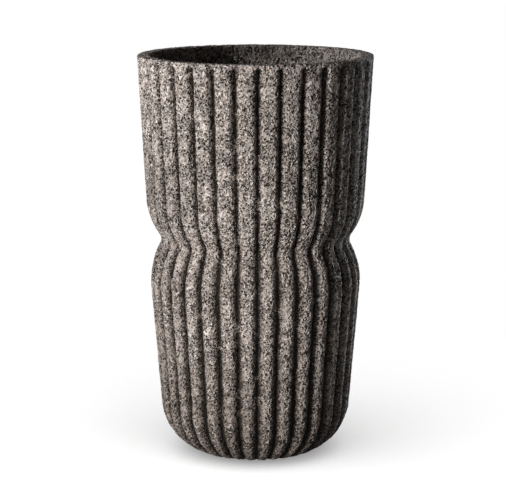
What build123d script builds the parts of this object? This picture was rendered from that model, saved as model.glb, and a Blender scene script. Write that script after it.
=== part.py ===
from build123d import *
import os
from math import cos, radians, sin, sqrt, tan

# Fluted urn vase. Millimetres, +Z up. The origin is on the axis, on the surface the vase stands on.
# Radii are to the crests of the ribs, and heights are above the underside of the casting.

# Outline of the casting, from the base up. A span is the height from one corner to the next.
base_radius = 43.0
heel_radius = 71.2
heel_span = 35.4
lower_shoulder_radius = 80.0
lower_wall_span = 106.6
waist_radius = 69.4
waist_rounding = 8.0
waist_lower_span = 19.1
upper_shoulder_radius = 80.8
waist_upper_span = 16.1
rim_radius = 87.6
upper_wall_span = 121.3

# Ribs, and the plain lip above them. The crest takes a share of a rib's width and drops to its edges,
# and the grooves lie deeper. Both depths shrink with the radius.
rib_count = 32
crest_share = 0.66
crest_drop_at_rim = 1.5
groove_depth_at_rim = 5.2
groove_runout = 4.0
runout_margin = 1.2
lip_height = 2.0
lip_rounding = 1.5

# Inside of the casting: an even wall round the upper chamber, and a straight well below the waist
wall_thickness = 10.0
waist_wall = 13.4
floor_thickness = 18.0

# Waterproof cup, bonded into the well
cup_thickness = 1.5
cup_below_waist = 4.0

# Rubber pads, cut square from sheet
pad_count = 4
pad_side = 14.0
pad_thickness = 1.5
pad_margin = 3.0

# Steps in which the ribs and the lip follow each bend of the outline
heel_steps = 4
shoulder_steps = 2
waist_steps = 2
lip_steps = 2

rib_angle = 360 / rib_count
crest_angle = rib_angle * crest_share
crest_drop = crest_drop_at_rim / rim_radius
groove_depth = groove_depth_at_rim / rim_radius
well_radius = waist_radius - waist_wall

# Corners of the outline as radius and height
base_edge = Vector(base_radius, 0)
heel = Vector(heel_radius, heel_span)
lower_shoulder = Vector(lower_shoulder_radius, heel.Y + lower_wall_span)
waist = Vector(waist_radius, lower_shoulder.Y + waist_lower_span)
upper_shoulder = Vector(upper_shoulder_radius, waist.Y + waist_upper_span)
rim = Vector(rim_radius, upper_shoulder.Y + upper_wall_span)


def towards(start, end, distance):
    """Point at a distance from one point towards another."""
    return start + (end - start).normalized() * distance


def at_height(start, end, height):
    """Point at a height on the straight line through two points."""
    return start + (end - start) * ((height - start.Y) / (end.Y - start.Y))


def steps_along(line, steps):
    """Points along a line or arc after its start, in equal steps."""
    return [line @ ((step + 1) / steps) for step in range(steps)]


def around_axis(radius, angle):
    """Point at a radius and an angle in degrees, counted from the front (-Y) towards +X."""
    return (radius * sin(radians(angle)), -radius * cos(radians(angle)))


def rib_section(point):
    """Level section through the ribs: each has a bowed crest between two straight flanks."""
    edge_radius = point.X * (1 - crest_drop)
    groove_radius = point.X * (1 - groove_depth)
    section = []
    for rib in range(rib_count):
        middle = rib_angle * (rib + 1 / 2)
        crest = around_axis(point.X, middle)
        edges = [around_axis(edge_radius, middle + side * crest_angle / 2) for side in (-1, 1)]
        grooves = [around_axis(groove_radius, middle + side * rib_angle / 2) for side in (-1, 1)]
        section.append(Line(grooves[0], edges[0]))
        section.append(ThreePointArc(edges[0], crest, edges[1]))
        section.append(Line(edges[1], grooves[1]))
    return Pos(0, 0, point.Y) * make_face(section)


def turned(outline):
    """Solid made by turning an outline, drawn as radius and height, about the axis."""
    return revolve(Plane.XZ * make_face(outline), Axis.Z)


# Ends of the bends: each shoulder is one arc from its wall to the small arc of the waist
waist_turn = radians((waist - upper_shoulder).get_angle(lower_shoulder - waist))
waist_reach = waist_rounding * tan(waist_turn / 2)
waist_top = towards(waist, upper_shoulder, waist_reach)
waist_bottom = towards(waist, lower_shoulder, waist_reach)
upper_bend_top = towards(upper_shoulder, rim, (upper_shoulder - waist_top).length)
lower_bend_bottom = towards(lower_shoulder, heel, (lower_shoulder - waist_bottom).length)
lip_start = at_height(upper_shoulder, rim, rim.Y - lip_height)
runout_end = at_height(upper_shoulder, rim, lip_start.Y - groove_runout)
wall_top = at_height(upper_shoulder, rim, runout_end.Y - runout_margin)

# The ribs run down the full height in one piece: from the lip, past both shoulders and through the
# waist, and round in under the heel as toes. A short band at the top takes the ends of the grooves.
upper_arc = TangentArc(upper_bend_top, waist_top, tangent=upper_shoulder - rim)
waist_arc = TangentArc(waist_top, waist_bottom, tangent=waist - upper_shoulder)
lower_arc = TangentArc(waist_bottom, lower_bend_bottom, tangent=lower_shoulder - waist)
heel_arc = TangentArc(heel, base_edge, tangent=heel - lower_shoulder)
rib_points = [lip_start, wall_top, upper_bend_top]
rib_points += steps_along(upper_arc, shoulder_steps)
rib_points += steps_along(waist_arc, waist_steps)
rib_points += steps_along(lower_arc, shoulder_steps)
rib_points += [heel]
rib_points += steps_along(heel_arc, heel_steps)
ribbed = loft([rib_section(point) for point in rib_points], ruled=True)

# Inside: the upper chamber follows its wall down to the shoulder, then narrows to the well at the waist
inward = Vector(wall_thickness, 0)
inside = Polyline(
    (0, floor_thickness),
    (well_radius, floor_thickness),
    (well_radius, waist.Y),
    upper_bend_top - inward,
    rim - inward,
    (0, rim.Y),
    close=True,
)

# Plain lip: a turned ring on the rim, with both its edges rounded. Its underside slopes down into the
# grooves, which run out against it in pointed ends.
groove_bottom = Vector(runout_end.X * (1 - groove_depth), runout_end.Y)
lip_side = FilletPolyline(
    lip_start, rim, rim - inward, lip_start - inward, radius=[lip_rounding, lip_rounding]
)
lip_points = [groove_bottom, lip_start]
for side in lip_side.edges():
    lip_points += steps_along(side, 1 if side.geom_type == GeomType.LINE else lip_steps)
lip = turned(Polyline(*lip_points, close=True))
fluted_body = ribbed - turned(inside) + lip

# Cup: it fills the well to just below the waist
upright = (Align.CENTER, Align.CENTER, Align.MIN)
cup_height = waist.Y - cup_below_waist - floor_thickness
cup_space = Cylinder(well_radius - cup_thickness, cup_height, align=upright)
cup = Cylinder(well_radius, cup_height, align=upright) - Pos(0, 0, cup_thickness) * cup_space
waterproof_cup = Pos(0, 0, floor_thickness) * cup

# Pads lie on a circle that keeps their corners inside the grooves at the base edge
pad_reach = base_radius * (1 - groove_depth) - pad_margin
pad_circle = sqrt(pad_reach**2 - (pad_side / 2) ** 2) - pad_side / 2
pad = Box(pad_side, pad_side, pad_thickness, align=upright)
pad_places = PolarLocations(pad_circle, pad_count, start_angle=180 / pad_count)

pieces = {
    "fluted_body": Pos(0, 0, pad_thickness) * fluted_body,
    "waterproof_cup": Pos(0, 0, pad_thickness) * waterproof_cup,
}
for number, place in enumerate(pad_places, start=1):
    pieces[f"rubber_pad_{number}"] = place * pad

os.makedirs("parts", exist_ok=True)
for node, piece in pieces.items():
    export_step(piece, f"parts/{node}.step")
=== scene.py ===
from math import cos, pi, radians, sin

import bpy
import numpy as np
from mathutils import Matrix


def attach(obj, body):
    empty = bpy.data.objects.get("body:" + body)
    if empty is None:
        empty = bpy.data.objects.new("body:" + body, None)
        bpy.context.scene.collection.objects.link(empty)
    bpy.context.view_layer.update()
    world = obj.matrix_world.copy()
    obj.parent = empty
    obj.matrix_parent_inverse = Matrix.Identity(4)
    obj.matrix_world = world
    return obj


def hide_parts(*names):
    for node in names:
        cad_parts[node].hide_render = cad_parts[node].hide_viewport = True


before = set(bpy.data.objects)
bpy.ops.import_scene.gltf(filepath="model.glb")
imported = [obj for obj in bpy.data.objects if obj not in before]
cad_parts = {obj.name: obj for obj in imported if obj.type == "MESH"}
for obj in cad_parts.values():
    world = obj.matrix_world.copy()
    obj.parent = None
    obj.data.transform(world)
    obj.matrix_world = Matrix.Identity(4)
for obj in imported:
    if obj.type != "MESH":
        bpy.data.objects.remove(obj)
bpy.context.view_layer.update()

# Fluted urn vase, in metres. The casting is drawn in millimetres, in the frame of the CAD model, and
# scaled when its mesh is made.
MM = 0.001

# Outline of the casting as radius and height: crests of the ribs outside, plain wall inside
PAD_HEIGHT = 1.5
BASE_EDGE = np.array([43.0, PAD_HEIGHT])
HEEL = np.array([71.2, PAD_HEIGHT + 35.4])
LOWER_SHOULDER = np.array([80.0, HEEL[1] + 106.6])
WAIST = np.array([69.4, LOWER_SHOULDER[1] + 19.1])
UPPER_SHOULDER = np.array([80.8, WAIST[1] + 16.1])
RIM = np.array([87.6, UPPER_SHOULDER[1] + 121.3])
WAIST_ROUNDING = 8.0
LIP_HEIGHT = 1.6
LIP_ROUNDING = 1.5
WALL = 10.0
WELL_RADIUS = 56.0
WELL_FLOOR = PAD_HEIGHT + 18.0
CUP_TOP = WAIST[1] - 4.0
PADS = 4

# The casting steps back behind the cup, so that the two surfaces don't coincide
BEHIND_CUP = 0.8
BEHIND_CUP_DROP = 2.0

# Ribs between uneven grooves. Parts of a rib's half width: its crest is flat up to the first, and its
# flanks are straight beyond the second. The third value is the depth as a share of the radius. The ribs
# are rounder below the waist, and the toes stand apart.
RIBS = 32
UPPER_RIBS = (0.34, 0.92, 5.2 / RIM[0])
LOWER_RIBS = (0.0, 1.0, 6.2 / RIM[0])
TOE_DEEPER = 0.4
GROOVE_RUNOUT = 3.2
GROOVE_WANDER = 0.45
GROOVE_FILL = 0.35
FILL_RANGE = (0.1, 0.7)

# Crust: heights and depths of its forms. All of it lies inside the outline, and it is smoother in the
# grooves. The roughness is by zones of the outline.
CRUST_INSET = 0.32
CRUST_DEPTH = 1.4
SWELL_HEIGHT = 0.15
LUMP_HEIGHT = 0.15
RIDGE_HEIGHT = 0.25
RIDGE_LEVEL = 0.45
RIDGE_SHARPNESS = 2.4
PIT_DEPTH = 0.95
PIT_RANGE = (0.2, 0.42)
PIT_GROUPING = 0.2
WARP_REACH = 0.8
GROOVE_SMOOTHING = 0.35
ROUGHNESS = {"under": 0.45, "outside": 1.0, "lip": 0.9, "inside": 0.85, "hidden": 0.0}

# Tones of the crust, from dark to pale. Parts: tone of the crust without painted shade, painted shade in
# the grooves, and how fast that shade fades up the flanks. There is more painted shade below the waist and
# towards the toes, and less contrast: that of the fine stone rises to full over a range of heights.
UPPER_TONES = (0.705, 0.7, 2.0)
LOWER_TONES = (0.69, 0.8, 1.6)
LOWER_CONTRAST = 0.8
CONTRAST_RANGE = (125.0, 208.333)
RIDGE_TONE = 0.14
RIDGE_TONE_LEVEL = 0.4
# Painted shade in the pits
PIT_SHADE = 0.33
# Painted shade that darkens the casting towards the toes, fading out at TOE_HEIGHT
TOE_SHADE = 0.24
TOE_HEIGHT = 115.0
HIDDEN_TONE = 0.5
FINE_TINT = 0.72
STONE_GLOSS = 0.15

# Noise behind each form: its wavelength and its seed
WANDER_NOISE = (7.0, 31)
FILL_NOISE = (11.0, 32)
WARP_NOISES = ((4.0, 11), (4.0, 12), (4.0, 13))
SWELL_NOISE = (15.0, 21)
LUMP_NOISE = (6.0, 25)
RIDGE_NOISE = (2.0, 22)
PIT_NOISE = (1.8, 23)
PIT_GROUP_NOISE = (8.0, 26)
NOISE_CELLS = 256
NOISE_GAIN = 1.6
NOISE_MIDDLE = 0.5

# Spacing of the mesh and of its map
COLUMNS_PER_RIB = 24
COLUMNS = RIBS * COLUMNS_PER_RIB
SECTION_SAMPLES = 4001
OUTER_STEP = 0.8
LIP_STEP = 0.7
INNER_STEP = 1.1
HIDDEN_STEP = 16.0
UNDER_STEP = 1.6
MAP_MARGIN = 0.01

# Camera, at the photograph's angle: a groove lies a little to the right of the middle
CAMERA_AWAY = 1.522
CAMERA_PITCH = radians(10.45)
CAMERA_AZIMUTH = radians(-1.25)
CAMERA_ASIDE = -0.0018
LOOK_AT = 0.157
SENSOR_WIDTH = 36
FOCAL_PIXELS = 2029
PICTURE_WIDTH = 506

# Floor and surroundings: what is seen of them, and the little light that they give the vase
FLOOR_REACH = 9.0
FLOOR_LEVEL = 0.7
FLOOR_GLOW = 0.3
FLOOR_BOUNCE = 0.03
SHADOW_RANGE = (0.12, 0.5)
WORLD_LIGHT = 0.006

# Lamps: distance and aim in metres, and colours
LAMP_AWAY = 1.6
LAMP_AIM = 0.15
BEAM_SOFTNESS = 0.01
WARM = (1.0, 0.985, 0.965)
COOL = (0.82, 0.92, 1.0)
WHITE = (1.0, 1.0, 1.0)


def unit(vector):
    return vector / np.linalg.norm(vector)


def towards(start, end, distance):
    """Point at a distance from one point towards another."""
    return start + unit(end - start) * distance


def at_height(start, end, height):
    """Point at a height on the line through two points."""
    return start + (end - start) * ((height - start[1]) / (end[1] - start[1]))


def line(start, end, step):
    """Points from start up to, but not including, end."""
    count = max(1, round(np.linalg.norm(end - start) / step))
    return start + np.linspace(0, 1, count, endpoint=False)[:, None] * (end - start)


def arc(start, end, tangent, step):
    """Points on the arc that leaves start along a tangent and passes through end, without end."""
    along = unit(tangent)
    chord = end - start
    across = unit(chord - along * (chord @ along))
    radius = (chord @ chord) / (2 * (chord @ across))
    turn = 2 * np.arctan2(chord @ across, chord @ along)
    count = max(2, round(radius * turn / step))
    angle = np.linspace(0, turn, count, endpoint=False)[:, None]
    return start + radius * (np.sin(angle) * along + (1 - np.cos(angle)) * across)


def smooth_step(low, high, value):
    x = np.clip((value - low) / (high - low), 0, 1)
    return x * x * (3 - 2 * x)


def between(lower, upper, share):
    """Values a share of the way from one set to another."""
    return [low + (high - low) * share for low, high in zip(lower, upper)]


def outline():
    """Closed outline from the middle of the underside, up the outside, and down the inside to the axis.

    Returns radius and height of each row, how far its grooves have run out, and its roughness.
    """
    waist_turn = np.arccos(unit(WAIST - LOWER_SHOULDER) @ unit(UPPER_SHOULDER - WAIST))
    waist_reach = WAIST_ROUNDING * np.tan(waist_turn / 2)
    waist_top = towards(WAIST, UPPER_SHOULDER, waist_reach)
    waist_bottom = towards(WAIST, LOWER_SHOULDER, waist_reach)
    upper_bend = towards(UPPER_SHOULDER, RIM, np.linalg.norm(UPPER_SHOULDER - waist_top))
    lower_bend = towards(LOWER_SHOULDER, HEEL, np.linalg.norm(LOWER_SHOULDER - waist_bottom))
    lip_start = at_height(UPPER_SHOULDER, RIM, RIM[1] - LIP_HEIGHT)
    groove_end = lip_start[1] - GROOVE_RUNOUT
    inward = np.array([-WALL, 0])
    level = np.array([-1.0, 0])
    outer_round = towards(RIM, UPPER_SHOULDER, LIP_ROUNDING)
    inner_round = towards(RIM + inward, UPPER_SHOULDER + inward, LIP_ROUNDING)
    top_outer = RIM + level * LIP_ROUNDING
    top_inner = RIM + inward - level * LIP_ROUNDING
    well_top = np.array([WELL_RADIUS, WAIST[1]])
    cup_top = np.array([WELL_RADIUS, CUP_TOP])
    behind_cup = np.array([WELL_RADIUS + BEHIND_CUP, CUP_TOP - BEHIND_CUP_DROP])
    well_bottom = np.array([WELL_RADIUS + BEHIND_CUP, WELL_FLOOR - BEHIND_CUP])
    under_middle = np.array([UNDER_STEP, PAD_HEIGHT])
    well_middle = np.array([HIDDEN_STEP, WELL_FLOOR - BEHIND_CUP])

    # The heel's arc is drawn from its top, and turned round so that it runs up from the base edge
    heel_arc = arc(HEEL, BASE_EDGE, HEEL - LOWER_SHOULDER, OUTER_STEP)[::-1]
    parts = [
        (line(under_middle, BASE_EDGE, UNDER_STEP), "under"),
        (np.vstack([BASE_EDGE, heel_arc[:-1]]), "outside"),
        (line(HEEL, lower_bend, OUTER_STEP), "outside"),
        (arc(lower_bend, waist_bottom, LOWER_SHOULDER - HEEL, OUTER_STEP), "outside"),
        (arc(waist_bottom, waist_top, WAIST - LOWER_SHOULDER, OUTER_STEP), "outside"),
        (arc(waist_top, upper_bend, UPPER_SHOULDER - WAIST, OUTER_STEP), "outside"),
        (line(upper_bend, outer_round, OUTER_STEP), "outside"),
        (arc(outer_round, top_outer, RIM - UPPER_SHOULDER, LIP_STEP), "lip"),
        (line(top_outer, top_inner, LIP_STEP), "lip"),
        (arc(top_inner, inner_round, level, LIP_STEP), "lip"),
        (line(inner_round, upper_bend + inward, INNER_STEP), "inside"),
        (line(upper_bend + inward, well_top, INNER_STEP), "inside"),
        (line(well_top, cup_top, INNER_STEP), "inside"),
        (line(cup_top, behind_cup, INNER_STEP), "hidden"),
        (line(behind_cup, well_bottom, HIDDEN_STEP), "hidden"),
        (line(well_bottom, well_middle, HIDDEN_STEP), "hidden"),
        (well_middle[None], "hidden"),
    ]
    rows = np.vstack([points for points, _ in parts])
    zone = np.concatenate([[name] * len(points) for points, name in parts])
    rough = np.array([ROUGHNESS[name] for name in zone])
    ribbed = np.isin(zone, ["under", "outside"])
    runout = np.where(ribbed, smooth_step(groove_end, lip_start[1], rows[:, 1]), 1.0)
    return rows, runout[:, None], rough[:, None]


def groove_depth(across, crest, flank):
    """Depth from 0 on the crest of a rib to 1 in its grooves, by the place across the rib from 0 to 1."""
    side = np.abs(2 * across - 1)
    bend = np.clip((side - crest) / (flank - crest), 0, 1)
    drop = (flank - crest) * (bend**3 - bend**4 / 2) + np.maximum(side - flank, 0)
    return drop / ((flank - crest) / 2 + 1 - flank)


def rib_columns():
    """Angle of each column and its place across its rib, evenly spaced along the section of the ribs."""
    across = np.linspace(0, 1, SECTION_SAMPLES)
    pitch = 2 * pi / RIBS
    crest, flank, depth = UPPER_RIBS
    run = np.hypot(np.diff(across) * pitch, np.diff(groove_depth(across, crest, flank)) * depth)
    length = np.concatenate([[0], np.cumsum(run)])
    places = np.interp(np.linspace(0, length[-1], COLUMNS_PER_RIB, endpoint=False), length, across)
    angle = (np.arange(RIBS)[:, None] + places[None]).ravel() * pitch
    return angle, np.tile(places, RIBS)


def around_axis(radius, angle, height):
    """Points at a radius, an angle from the front (-Y) towards +X, and a height."""
    return np.stack(np.broadcast_arrays(radius * np.sin(angle), -radius * np.cos(angle), height), axis=-1)


def gradient_noise(points, wavelength, seed):
    """Smooth seeded noise of about -1 to 1 at each point of a grid, in millimetres."""
    rng = np.random.default_rng(seed)
    order = rng.permutation(NOISE_CELLS)
    slopes = rng.normal(size=(NOISE_CELLS, 3))
    slopes /= np.linalg.norm(slopes, axis=1)[:, None]
    last = NOISE_CELLS - 1
    place = points.reshape(-1, 3) / wavelength
    cell = np.floor(place).astype(np.int64)
    inside = place - cell
    blend = inside**3 * (inside * (inside * 6 - 15) + 10)
    total = np.zeros(len(place))
    for corner in np.ndindex(2, 2, 2):
        x, y, z = (cell + corner).T
        slope = slopes[order[(order[(order[x & last] + y) & last] + z) & last]]
        weight = np.where(corner, blend, 1 - blend).prod(axis=1)
        total += weight * np.einsum("ij,ij->i", slope, inside - corner)
    return (total * NOISE_GAIN).reshape(points.shape[:-1])


def crust(points):
    """Height of the crust, and its tone, below 0 in the pits and above 0 on the ridges; the darker tone in
    the pits is painted shade.
    """
    warp = np.stack([gradient_noise(points, *noise) for noise in WARP_NOISES], axis=-1)
    warped = points + WARP_REACH * warp
    swell = gradient_noise(points, *SWELL_NOISE)
    lump = gradient_noise(points, *LUMP_NOISE)
    ridge = 1 - np.clip(RIDGE_SHARPNESS * np.abs(gradient_noise(warped, *RIDGE_NOISE)), 0, 1)
    group = PIT_GROUPING * gradient_noise(points, *PIT_GROUP_NOISE)
    pit = smooth_step(*PIT_RANGE, gradient_noise(warped, *PIT_NOISE) - group)
    waves = SWELL_HEIGHT * swell + LUMP_HEIGHT * lump
    height = waves + RIDGE_HEIGHT * (ridge - RIDGE_LEVEL) - PIT_DEPTH * pit
    tone = RIDGE_TONE * (ridge - RIDGE_TONE_LEVEL) - PIT_SHADE * pit
    return height, tone


def casting_grid():
    """Rows of the outline, with points and tones on a grid of rows and of columns round the axis."""
    rows, runout, rough = outline()
    angle, across = rib_columns()
    radius, height = rows[:, :1], rows[:, 1:]
    above_waist = smooth_step(LOWER_SHOULDER[1], UPPER_SHOULDER[1], height)

    # Ribs, with grooves that wander to the sides and are filled in places
    crest, flank, depth = between(LOWER_RIBS, UPPER_RIBS, above_waist)
    depth = depth * (1 + TOE_DEEPER * (1 - smooth_step(0, HEEL[1], height)))
    groove = np.clip(groove_depth(across, crest, flank) - runout, 0, 1)
    smooth = around_axis(radius, angle, height)
    wander = GROOVE_WANDER * gradient_noise(smooth, *WANDER_NOISE)
    fill = GROOVE_FILL * smooth_step(*FILL_RANGE, gradient_noise(smooth, *FILL_NOISE))
    sunk = groove * (1 - fill)
    grid = around_axis(radius * (1 - depth * sunk), angle + wander * (1 - runout) / radius, height)

    # Crust, laid on along the normals
    around = np.roll(grid, -1, axis=1) - np.roll(grid, 1, axis=1)
    along = np.gradient(grid, axis=0)
    normal = np.cross(around, along)
    normal /= np.linalg.norm(normal, axis=2)[:, :, None]
    relief, crust_tone = crust(grid)
    relief = (np.clip(relief, -CRUST_DEPTH, CRUST_INSET) - CRUST_INSET) * rough
    relief *= 1 - GROOVE_SMOOTHING * sunk
    grid = grid + normal * relief[:, :, None]
    grid[:, :, 2] = np.clip(grid[:, :, 2], PAD_HEIGHT, RIM[1])

    contrast = LOWER_CONTRAST + (1 - LOWER_CONTRAST) * above_waist
    unshaded, groove_shade, fade = between(LOWER_TONES, UPPER_TONES, above_waist)
    # Painted shade in the grooves, deepest at their bottoms
    tone = unshaded + crust_tone * contrast - groove_shade * sunk**fade
    # Painted shade, darker towards the toes
    tone -= TOE_SHADE * np.clip(1 - height / TOE_HEIGHT, 0, 1) ** 2
    return rows, grid, tone


def wrapped_map(rows):
    """Corners of a map wrapped once round the axis, with its seam at the front groove."""
    length = np.concatenate([[0], np.cumsum(np.linalg.norm(np.diff(rows, axis=0), axis=1))])
    v = (length / length[-1]) * (1 - 2 * MAP_MARGIN) + MAP_MARGIN
    u = np.arange(COLUMNS + 1) / COLUMNS
    spans = len(rows) - 1
    left, right = np.tile(u[:-1], spans), np.tile(u[1:], spans)
    low, high = np.repeat(v[:-1], COLUMNS), np.repeat(v[1:], COLUMNS)
    quad_map = np.stack([left, low, right, low, right, high, left, high], axis=1)
    middle = (u[:-1] + u[1:]) / 2
    edge = np.zeros(COLUMNS)
    under_map = np.stack([u[1:], edge + v[0], u[:-1], edge + v[0], middle, edge], axis=1)
    well_map = np.stack([u[:-1], edge + v[-1], u[1:], edge + v[-1], middle, edge + 1], axis=1)
    return np.concatenate([quad_map.ravel(), under_map.ravel(), well_map.ravel()])


def casting_mesh():
    """Mesh of the casting: quads between rows and columns, and a fan of triangles at each end."""
    rows, grid, tone = casting_grid()
    number = np.arange(len(rows) * COLUMNS).reshape(-1, COLUMNS)
    after = np.roll(number, -1, axis=1)
    quads = np.stack([number[:-1], after[:-1], after[1:], number[1:]], axis=2).reshape(-1, 4)
    under_middle, well_middle = number.size, number.size + 1
    under_fan = np.stack([after[0], number[0], np.full(COLUMNS, under_middle)], axis=1)
    well_fan = np.stack([number[-1], after[-1], np.full(COLUMNS, well_middle)], axis=1)
    middles = [[0, 0, rows[0, 1]], [0, 0, rows[-1, 1]]]
    points = np.vstack([grid.reshape(-1, 3), middles]) * MM

    mesh = bpy.data.meshes.new("casting")
    mesh.vertices.add(len(points))
    mesh.vertices.foreach_set("co", points.ravel())
    corners = np.concatenate([quads.ravel(), under_fan.ravel(), well_fan.ravel()])
    sizes = np.concatenate([np.full(len(quads), 4), np.full(2 * COLUMNS, 3)])
    mesh.loops.add(len(corners))
    mesh.loops.foreach_set("vertex_index", corners)
    mesh.polygons.add(len(sizes))
    mesh.polygons.foreach_set("loop_start", np.concatenate([[0], np.cumsum(sizes)[:-1]]))
    mesh.polygons.foreach_set("use_smooth", np.ones(len(sizes), bool))
    layer = mesh.uv_layers.new(name="OFBake")
    layer.data.foreach_set("uv", wrapped_map(rows))
    # Tone of the crust, with painted shade in the grooves, in the pits and towards the toes
    shade = mesh.attributes.new("crust_tone", "FLOAT", "POINT")
    shade.data.foreach_set("value", np.concatenate([tone.ravel(), [HIDDEN_TONE, HIDDEN_TONE]]))
    mesh.update(calc_edges=True)
    mesh.validate()
    return mesh


class Nodes:
    """Short forms for building a node tree."""

    def __init__(self, tree):
        self.tree = tree
        tree.nodes.clear()

    def add(self, kind, **settings):
        node = self.tree.nodes.new(kind)
        for name, value in settings.items():
            setattr(node, name, value)
        return node

    def link(self, source, target):
        self.tree.links.new(source, target)

    def math(self, operation, *values):
        node = self.add("ShaderNodeMath", operation=operation)
        for socket, value in zip(node.inputs, values):
            if isinstance(value, (int, float)):
                socket.default_value = value
            else:
                self.link(value, socket)
        return node.outputs[0]

    def noise(self, where, size, detail, roughness=0.6):
        """Noise whose lumps are about a size in millimetres."""
        node = self.add("ShaderNodeTexNoise")
        node.inputs["Scale"].default_value = 1 / (size * MM)
        node.inputs["Detail"].default_value = detail
        node.inputs["Roughness"].default_value = roughness
        self.link(where, node.inputs["Vector"])
        return node.outputs["Fac"]

    def ramp(self, factor, stops):
        """Colour by a factor, from stops of place and colour."""
        node = self.add("ShaderNodeValToRGB")
        elements = node.color_ramp.elements
        while len(elements) < len(stops):
            elements.new(0.5)
        for element, (place, colour) in zip(elements, stops):
            element.position = place
            element.color = (*colour, 1)
        self.link(factor, node.inputs["Fac"])
        return node.outputs["Color"]

    def spread(self, factor, low, high, start=0, end=1, **settings):
        """Value that goes from low to high while a factor goes from start to end."""
        node = self.add("ShaderNodeMapRange", **settings)
        node.inputs["From Min"].default_value = start
        node.inputs["From Max"].default_value = end
        node.inputs["To Min"].default_value = low
        node.inputs["To Max"].default_value = high
        self.link(factor, node.inputs["Value"])
        return node.outputs["Result"]

    def bump(self, height, distance, strength):
        node = self.add("ShaderNodeBump")
        node.inputs["Distance"].default_value = distance * MM
        node.inputs["Strength"].default_value = strength
        self.link(height, node.inputs["Height"])
        return node.outputs["Normal"]

    def mixed(self, factor, first, second):
        """Mix of two shaders."""
        node = self.add("ShaderNodeMixShader")
        for socket, value in zip(node.inputs, (factor, first, second)):
            self.link(value, socket)
        return node.outputs[0]

    def plain(self, kind, level, strength=None):
        """Shader of one grey level."""
        node = self.add(kind)
        node.inputs["Color"].default_value = (level, level, level, 1)
        if strength is not None:
            node.inputs["Strength"].default_value = strength
        return node.outputs[0]

    def seen_directly(self):
        """1 for rays that show the surroundings, and 0 for rays that light the object."""
        path = self.add("ShaderNodeLightPath").outputs
        seen = self.math("MAXIMUM", path["Is Camera Ray"], path["Is Glossy Ray"])
        return self.math("MAXIMUM", seen, path["Is Transmission Ray"])


def material(name):
    """New material with a Principled shader: returns it, its nodes, the shader and object coordinates."""
    made = bpy.data.materials.new(name)
    made.use_nodes = True
    nodes = Nodes(made.node_tree)
    shader = nodes.add("ShaderNodeBsdfPrincipled")
    output = nodes.add("ShaderNodeOutputMaterial")
    nodes.link(shader.outputs["BSDF"], output.inputs["Surface"])
    where = nodes.add("ShaderNodeTexCoord").outputs["Object"]
    return made, nodes, shader, where


def stone_material():
    """Fine ridges, pits and specks over the tone of the crust, stronger in some places than in others."""
    made, nodes, shader, where = material("rough_casting")
    crust_tone = nodes.add("ShaderNodeAttribute", attribute_name="crust_tone").outputs["Fac"]
    worm = nodes.noise(where, size=2.3, detail=0)
    worm = nodes.math("ABSOLUTE", nodes.math("SUBTRACT", worm, NOISE_MIDDLE))
    ridge = nodes.spread(worm, low=0.26, high=-0.14, end=0.125)
    pit = nodes.noise(where, size=1.35, detail=0)
    pit = nodes.spread(pit, low=0, high=-0.7, start=0.56, end=0.76)
    speck = nodes.noise(where, size=0.55, detail=2)
    patch = nodes.noise(where, size=28, detail=3)
    fine = nodes.math("ADD", pit, nodes.spread(speck, low=-0.12, high=0.12))
    fine = nodes.math("ADD", ridge, fine)

    worn = nodes.noise(where, size=9, detail=1)
    worn = nodes.spread(worn, low=0.45, high=1.5, start=1 / 3, end=2 / 3)
    split = nodes.add("ShaderNodeSeparateXYZ")
    nodes.link(where, split.inputs[0])
    start, end = CONTRAST_RANGE
    contrast = nodes.spread(split.outputs["Z"], LOWER_CONTRAST, 1, start * MM, end * MM)
    fine = nodes.math("MULTIPLY", fine, nodes.math("MULTIPLY", worn, contrast))

    # The fine forms colour the stone as well as bumping it: the darker colour of the pits is painted shade
    tint = nodes.math("MULTIPLY_ADD", fine, FINE_TINT, nodes.spread(patch, low=-0.1, high=0.1))
    colour = nodes.ramp(nodes.math("ADD", crust_tone, tint), [
        (0.1, (0.023, 0.018, 0.014)),
        (0.35, (0.110, 0.089, 0.077)),
        (0.58, (0.305, 0.262, 0.236)),
        (0.85, (0.690, 0.630, 0.590)),
    ])
    nodes.link(colour, shader.inputs["Base Color"])
    nodes.link(nodes.spread(speck, low=0.98, high=0.85), shader.inputs["Roughness"])
    shader.inputs["Specular IOR Level"].default_value = STONE_GLOSS
    nodes.link(nodes.bump(fine, distance=2.4, strength=1.0), shader.inputs["Normal"])
    return made


def cup_material():
    """Dark satin plastic, a little cloudy, with a fine moulded grain."""
    made, nodes, shader, where = material("moulded_cup")
    cloud = nodes.noise(where, size=22, detail=4)
    grain = nodes.noise(where, size=0.9, detail=2)
    colour = nodes.ramp(cloud, [
        (0.3, (0.016, 0.016, 0.017)),
        (0.7, (0.034, 0.033, 0.032)),
    ])
    nodes.link(colour, shader.inputs["Base Color"])
    nodes.link(nodes.spread(cloud, low=0.42, high=0.62), shader.inputs["Roughness"])
    nodes.link(nodes.bump(grain, distance=0.06, strength=0.5), shader.inputs["Normal"])
    return made


def rubber_material():
    """Dull black rubber with a fine speckle."""
    made, nodes, shader, where = material("pad_rubber_sheet")
    speck = nodes.noise(where, size=0.7, detail=3)
    colour = nodes.ramp(speck, [
        (0.35, (0.010, 0.010, 0.010)),
        (0.70, (0.030, 0.029, 0.028)),
    ])
    nodes.link(colour, shader.inputs["Base Color"])
    nodes.link(nodes.spread(speck, low=0.78, high=0.95), shader.inputs["Roughness"])
    nodes.link(nodes.bump(speck, distance=0.08, strength=0.6), shader.inputs["Normal"])
    return made


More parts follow.
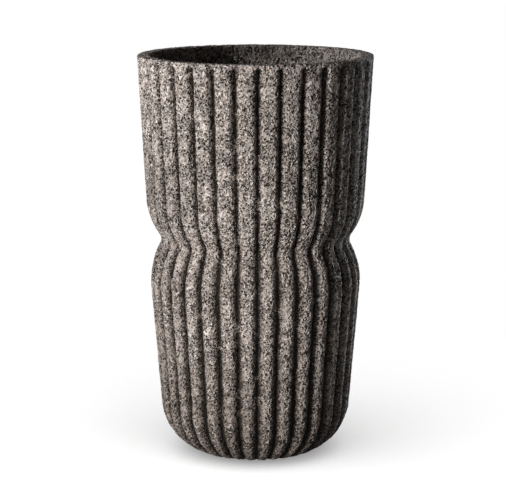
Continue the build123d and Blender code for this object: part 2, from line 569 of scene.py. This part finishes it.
def floor_material():
    """Pale floor that shows the shadow near the vase and is plain white further out."""
    made = bpy.data.materials.new("pale_floor")
    made.use_nodes = True
    nodes = Nodes(made.node_tree)
    distance = nodes.add("ShaderNodeVectorMath", operation="LENGTH")
    nodes.link(nodes.add("ShaderNodeTexCoord").outputs["Object"], distance.inputs[0])
    far = nodes.spread(distance.outputs["Value"], 0, 1, *SHADOW_RANGE, interpolation_type="SMOOTHSTEP")
    lit = nodes.add("ShaderNodeAddShader")
    nodes.link(nodes.plain("ShaderNodeBsdfDiffuse", FLOOR_LEVEL), lit.inputs[0])
    nodes.link(nodes.plain("ShaderNodeEmission", 1, FLOOR_GLOW), lit.inputs[1])
    shown = nodes.mixed(far, lit.outputs[0], nodes.plain("ShaderNodeEmission", 1, 1))
    bounce = nodes.plain("ShaderNodeBsdfDiffuse", FLOOR_BOUNCE)
    shader = nodes.mixed(nodes.seen_directly(), bounce, shown)
    output = nodes.add("ShaderNodeOutputMaterial")
    nodes.link(shader, output.inputs["Surface"])
    return made


def place(name, data):
    """New object in the scene."""
    made = bpy.data.objects.new(name, data)
    bpy.context.scene.collection.objects.link(made)
    return made


def wear(node, made):
    """Gives a CAD node a material."""
    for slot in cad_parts[node].material_slots:
        slot.material = made


def lit_group(name, objects):
    """Collection of the objects that a lamp lights."""
    group = bpy.data.collections.new(name)
    for each in objects:
        group.objects.link(each)
    return group


def hang(data, azimuth, elevation, away, aim, lights):
    """Hangs a lamp, aimed at a height on the axis in metres, which lights only some of the objects.

    Azimuth is from the camera towards +X, in degrees.
    """
    made = place(data.name, data)
    turn, rise = CAMERA_AZIMUTH + radians(azimuth), radians(elevation)
    made.location = (away * sin(turn) * cos(rise), -away * cos(turn) * cos(rise), aim + away * sin(rise))
    made.rotation_euler = (pi / 2 - rise, 0, turn)
    made.light_linking.receiver_collection = lights


def lamp(name, lights, colour, azimuth, elevation, size, power, away=LAMP_AWAY):
    """Soft lamp aimed at the middle of the vase."""
    data = bpy.data.lights.new(name, "AREA")
    data.shape = "RECTANGLE"
    data.size, data.size_y = size
    data.energy = power
    data.color = colour
    hang(data, azimuth, elevation, away, LAMP_AIM, lights)


def beam(name, lights, azimuth, elevation, aim, cone, blend, power, away=LAMP_AWAY):
    """Narrow lamp aimed at a height on the axis, in millimetres."""
    data = bpy.data.lights.new(name, "SPOT")
    data.energy = power
    data.spot_size = radians(cone)
    data.spot_blend = blend
    data.shadow_soft_size = BEAM_SOFTNESS
    hang(data, azimuth, elevation, away, aim * MM, lights)


casting = place("rough_casting", casting_mesh())
casting.data.materials.append(stone_material())
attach(casting, "root")
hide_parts("fluted_body")

wear("waterproof_cup", cup_material())
pad_made = rubber_material()
for number in range(1, PADS + 1):
    wear(f"rubber_pad_{number}", pad_made)

floor_mesh = bpy.data.meshes.new("floor")
floor_corners = [(x * FLOOR_REACH, y * FLOOR_REACH, 0) for x, y in ((-1, -1), (1, -1), (1, 1), (-1, 1))]
floor_mesh.from_pydata(floor_corners, [], [(0, 1, 2, 3)])
floor = place("floor", floor_mesh)
floor_mesh.materials.append(floor_material())

# Surroundings: white where they are seen, dim where they light the vase
world = bpy.data.worlds.new("studio")
bpy.context.scene.world = world
world.use_nodes = True
world_nodes = Nodes(world.node_tree)
world_dim = world_nodes.plain("ShaderNodeBackground", 1, WORLD_LIGHT)
world_white = world_nodes.plain("ShaderNodeBackground", 1, 1)
world_shader = world_nodes.mixed(world_nodes.seen_directly(), world_dim, world_white)
world_output = world_nodes.add("ShaderNodeOutputWorld")
world_nodes.link(world_shader, world_output.inputs["Surface"])

vase_group = lit_group("vase_lit", [casting, *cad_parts.values()])
floor_group = lit_group("floor_lit", [floor])
lamp("key", vase_group, WARM, azimuth=-42, elevation=2, size=(0.4, 0.2), power=32)
lamp("fill", vase_group, WARM, azimuth=8, elevation=3, size=(0.5, 0.3), power=1.9)
lamp("edge", vase_group, COOL, azimuth=138, elevation=0, size=(0.12, 0.3), power=18)
lamp("back", vase_group, WARM, azimuth=180, elevation=0, size=(0.6, 0.2), power=20)
lamp("floor_wash", floor_group, WHITE, azimuth=-14, elevation=60, size=(4.0, 4.0), power=122, away=1.8)

# One beam from the left crosses the rim and shows the inside of the wall, one from the front falls on the
# lower shoulder, and one from straight above shows the well and the cup and stays off the lip
beam("rim", vase_group, azimuth=-72, elevation=20, aim=RIM[1], cone=8.5, blend=1.0, power=80)
beam("shoulder", vase_group, azimuth=-10, elevation=50, aim=62, cone=5.5, blend=1.0, power=34)
beam("well", vase_group, azimuth=0, elevation=90, aim=RIM[1], cone=5.4, blend=0.4, power=60, away=1.35)

camera_data = bpy.data.cameras.new("camera")
camera_data.sensor_width = SENSOR_WIDTH
camera_data.lens = SENSOR_WIDTH * FOCAL_PIXELS / PICTURE_WIDTH
camera = place("camera", camera_data)
level_away = CAMERA_AWAY * cos(CAMERA_PITCH)
camera.location = (
    level_away * sin(CAMERA_AZIMUTH) + CAMERA_ASIDE * cos(CAMERA_AZIMUTH),
    -level_away * cos(CAMERA_AZIMUTH) + CAMERA_ASIDE * sin(CAMERA_AZIMUTH),
    LOOK_AT + CAMERA_AWAY * sin(CAMERA_PITCH),
)
camera.rotation_euler = (pi / 2 - CAMERA_PITCH, 0, CAMERA_AZIMUTH)
bpy.context.scene.camera = camera
bpy.context.scene.view_settings.view_transform = "Standard"
